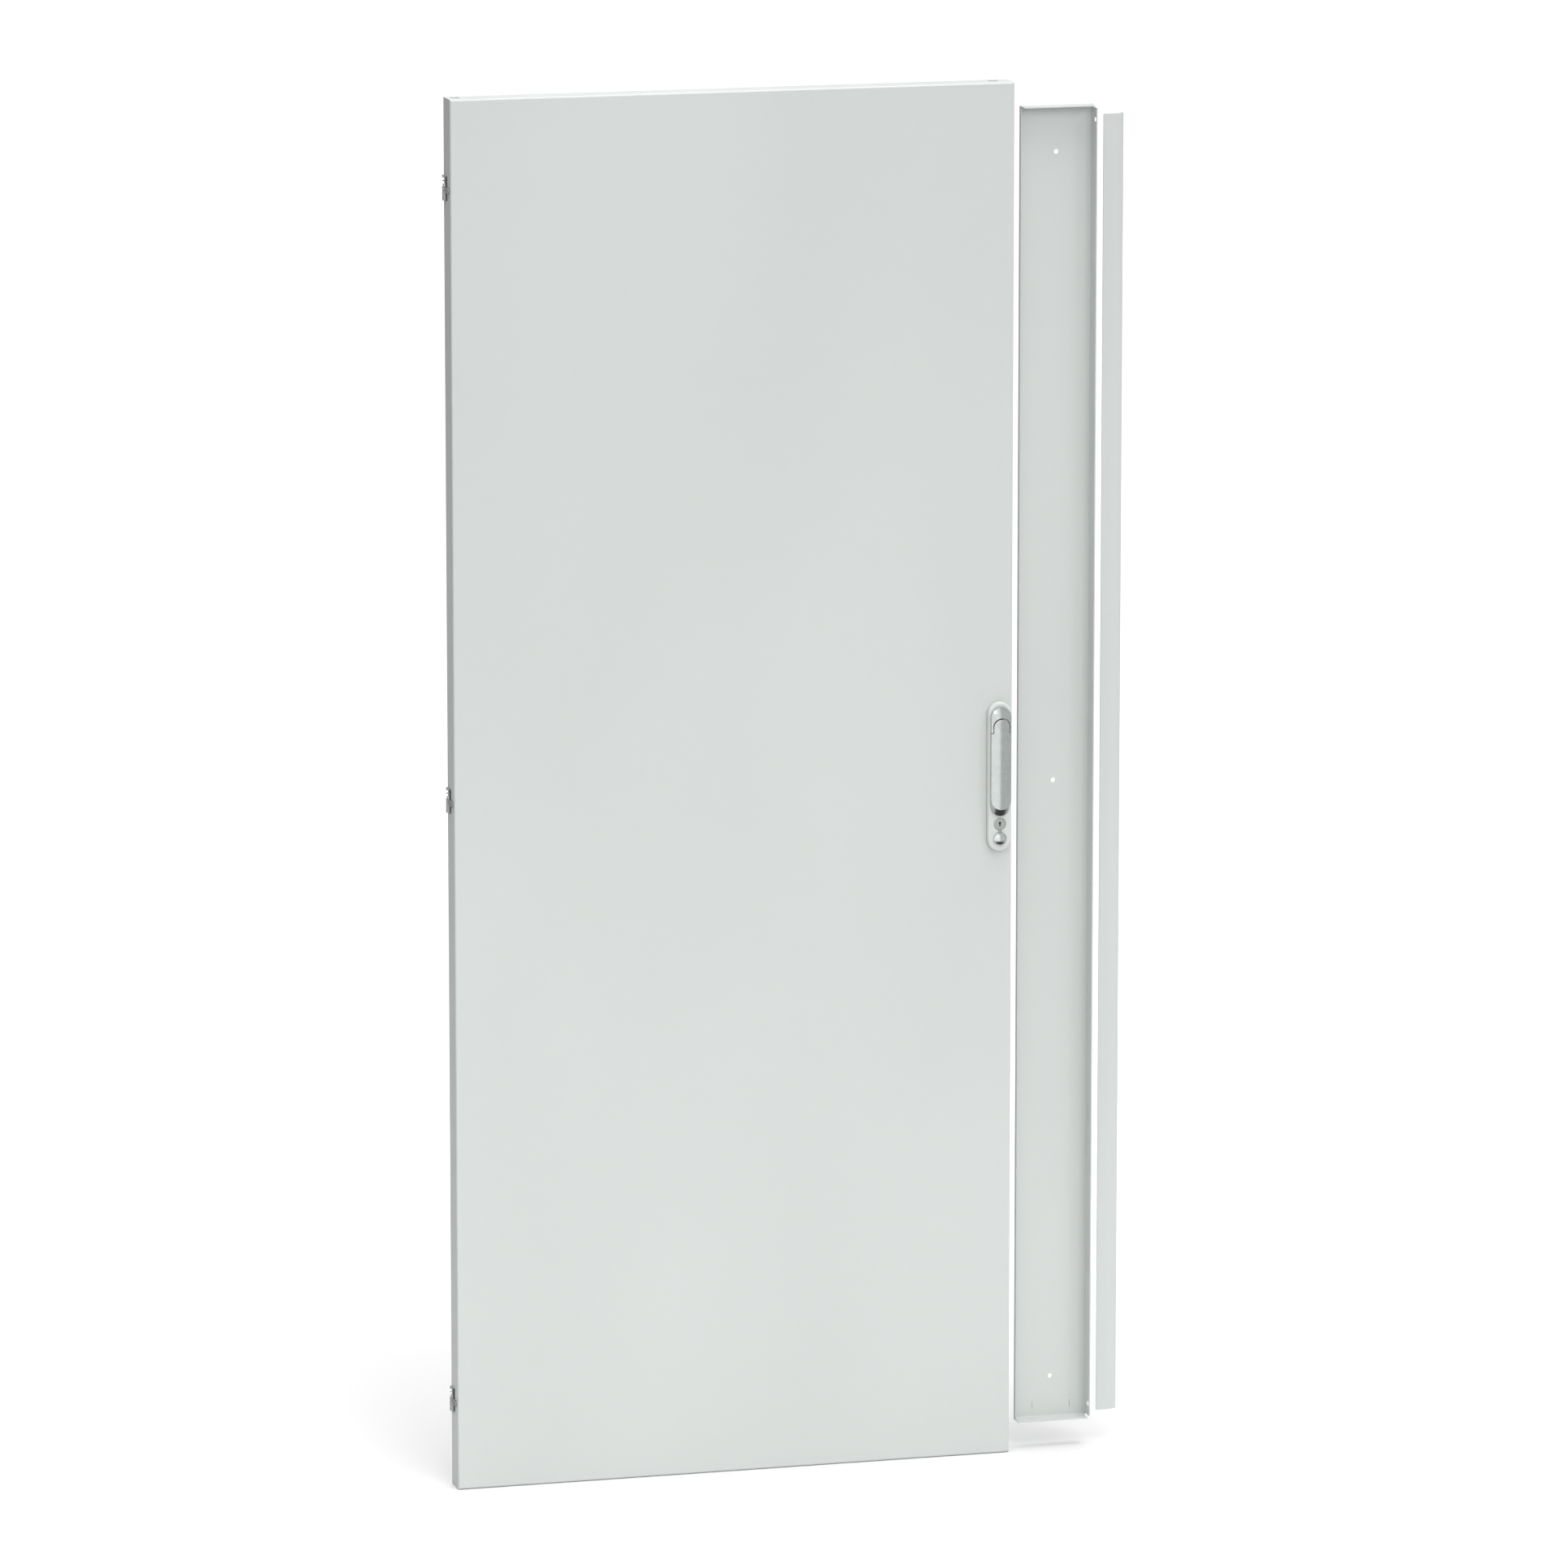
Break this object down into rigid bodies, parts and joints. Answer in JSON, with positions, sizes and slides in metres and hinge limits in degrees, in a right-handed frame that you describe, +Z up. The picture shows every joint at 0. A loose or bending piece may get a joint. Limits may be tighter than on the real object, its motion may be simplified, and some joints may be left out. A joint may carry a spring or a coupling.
{
  "type": "enclosure door kit",
  "caption": "Sheet-metal cabinet door with spring pin hinges and a locking swing handle, with its dished side panel and narrow cover strip.",
  "frame": {"origin": "centre of the middle hinge plate's two screw holes, on the cabinet's front plane", "axes": "+Z up along the hinge pins, +X from the hinges towards the handle, -Y out towards whoever opens the door"},
  "size_m": [0.9635, 0.0618, 1.93],
  "materials": {
    "door_paint": "light grey powder coat, fine satin texture",
    "panel_paint": "light grey powder coat, fine satin texture",
    "strip_paint": "light grey powder coat, fine satin texture",
    "galvanised": "zinc-coated sheet steel",
    "dark_zinc": "dark passivated zinc",
    "pin_steel": "turned steel",
    "spring_steel": "oiled spring wire",
    "rivet_alloy": "plain rivet alloy",
    "foam": "foamed-in-place sealing bead",
    "escutcheon_paint": "light grey powder coat on a casting",
    "seal_rubber": "thin moulded rubber",
    "screw_steel": "bright zinc plate",
    "satin_zinc": "satin chrome on a zinc casting",
    "lock_nickel": "brushed nickel",
    "cap_chrome": "polished chrome",
    "lock_steel": "zinc-plated steel",
    "gearbox_zinc": "plain die casting",
    "guide_plastic": "black glass-filled nylon"
  },
  "bodies": {
    "cabinet_side": {"frame_plate_top": "dark_zinc", "frame_plate_middle": "dark_zinc", "frame_plate_bottom": "dark_zinc", "side_panel": "panel_paint", "cover_strip": "strip_paint", "strip_brackets": "galvanised"},
    "door": {"door_skin": "door_paint", "door_gasket": "foam", "hinge_side_stiffener": "galvanised", "lock_side_stiffener": "galvanised", "cross_stiffeners": "galvanised", "earth_nut": "screw_steel", "hinge_block_top": "dark_zinc", "hinge_block_middle": "dark_zinc", "hinge_block_bottom": "dark_zinc", "hinge_rivets": "rivet_alloy", "hinge_spring_top": "spring_steel", "hinge_spring_middle": "spring_steel", "hinge_spring_bottom": "spring_steel", "handle_base": "escutcheon_paint", "base_seal": "seal_rubber", "base_screws": "screw_steel", "lock_body": "lock_nickel", "lock_nut": "lock_steel", "cap_pivot": "pin_steel", "gearbox_housing": "gearbox_zinc", "gearbox_cover": "galvanised", "gearbox_screws": "screw_steel", "gearbox_nut": "screw_steel", "rod_guides": "guide_plastic"},
    "handle_head": {"spindle_head": "satin_zinc", "lift_pin": "pin_steel", "square_spindle": "pin_steel", "spindle_clip": "screw_steel", "pinion": "gearbox_zinc"},
    "lever": {"handle_lever": "satin_zinc"},
    "upper_rod_set": {"upper_rack": "galvanised", "upper_rod": "pin_steel", "upper_rod_rivets": "rivet_alloy", "upper_roller_pin": "pin_steel"},
    "lower_rod_set": {"lower_rack": "galvanised", "lower_rod": "pin_steel", "lower_rod_rivets": "rivet_alloy", "lower_roller_pin": "pin_steel"},
    "upper_wheel": {"upper_roller": "guide_plastic"},
    "lower_wheel": {"lower_roller": "guide_plastic"},
    "key_plug": {"lock_plug": "lock_nickel", "lock_cam": "lock_steel", "cam_screw": "screw_steel"},
    "cap": {"dust_cap": "cap_chrome"},
    "pin_top": {"hinge_pin_top": "pin_steel", "pin_tab_top": "dark_zinc"},
    "pin_middle": {"hinge_pin_middle": "pin_steel", "pin_tab_middle": "dark_zinc"},
    "pin_bottom": {"hinge_pin_bottom": "pin_steel", "pin_tab_bottom": "dark_zinc"}
  },
  "joints": [
    {"name": "door_swing", "type": "hinge", "parent": "cabinet_side", "child": "door", "pos_m": [-0.02, -0.011, 0], "axis": [0, 0, -1], "range_deg": [0, 120]},
    {"name": "pin_top_slide", "type": "slide", "parent": "door", "child": "pin_top", "axis": [0, 0, 1], "range_m": [0, 0.009], "stiffness_N_per_m": 300, "springref_m": -0.006, "deforming": ["hinge_spring_top"]},
    {"name": "pin_middle_slide", "type": "slide", "parent": "door", "child": "pin_middle", "axis": [0, 0, 1], "range_m": [0, 0.009], "stiffness_N_per_m": 300, "springref_m": -0.006, "deforming": ["hinge_spring_middle"]},
    {"name": "pin_bottom_slide", "type": "slide", "parent": "door", "child": "pin_bottom", "axis": [0, 0, 1], "range_m": [0, 0.009], "stiffness_N_per_m": 300, "springref_m": -0.006, "deforming": ["hinge_spring_bottom"]},
    {"name": "handle_turn", "type": "hinge", "parent": "door", "child": "handle_head", "pos_m": [0.7535, -0.042, 0.086], "axis": [0, 1, 0], "range_deg": [0, 90]},
    {"name": "lever_lift", "type": "hinge", "parent": "handle_head", "child": "lever", "pos_m": [0.7535, -0.0562, 0.0684], "axis": [-1, 0, 0], "range_deg": [0, 30]},
    {"name": "upper_rod_slide", "type": "slide", "parent": "door", "child": "upper_rod_set", "axis": [0, 0, -1], "range_m": [0, 0.01414]},
    {"name": "lower_rod_slide", "type": "slide", "parent": "door", "child": "lower_rod_set", "axis": [0, 0, 1], "range_m": [0, 0.01414]},
    {"name": "upper_roller_spin", "type": "hinge", "parent": "upper_rod_set", "child": "upper_wheel", "pos_m": [0.763, -0.0235, 0.905], "axis": [1, 0, 0], "continuous": true},
    {"name": "lower_roller_spin", "type": "hinge", "parent": "lower_rod_set", "child": "lower_wheel", "pos_m": [0.744, -0.0235, -0.905], "axis": [1, 0, 0], "continuous": true},
    {"name": "key_turn", "type": "hinge", "parent": "door", "child": "key_plug", "pos_m": [0.7535, -0.042, -0.065], "axis": [0, -1, 0], "range_deg": [0, 90]},
    {"name": "cap_swing", "type": "hinge", "parent": "door", "child": "cap", "pos_m": [0.7535, -0.0508, -0.07545], "axis": [0, -1, 0], "range_deg": [0, 180]}
  ],
  "couplings": [
    {"joint": "upper_rod_slide", "follows": "handle_turn", "m_per_rad": 0.009},
    {"joint": "lower_rod_slide", "follows": "handle_turn", "m_per_rad": 0.009}
  ]
}
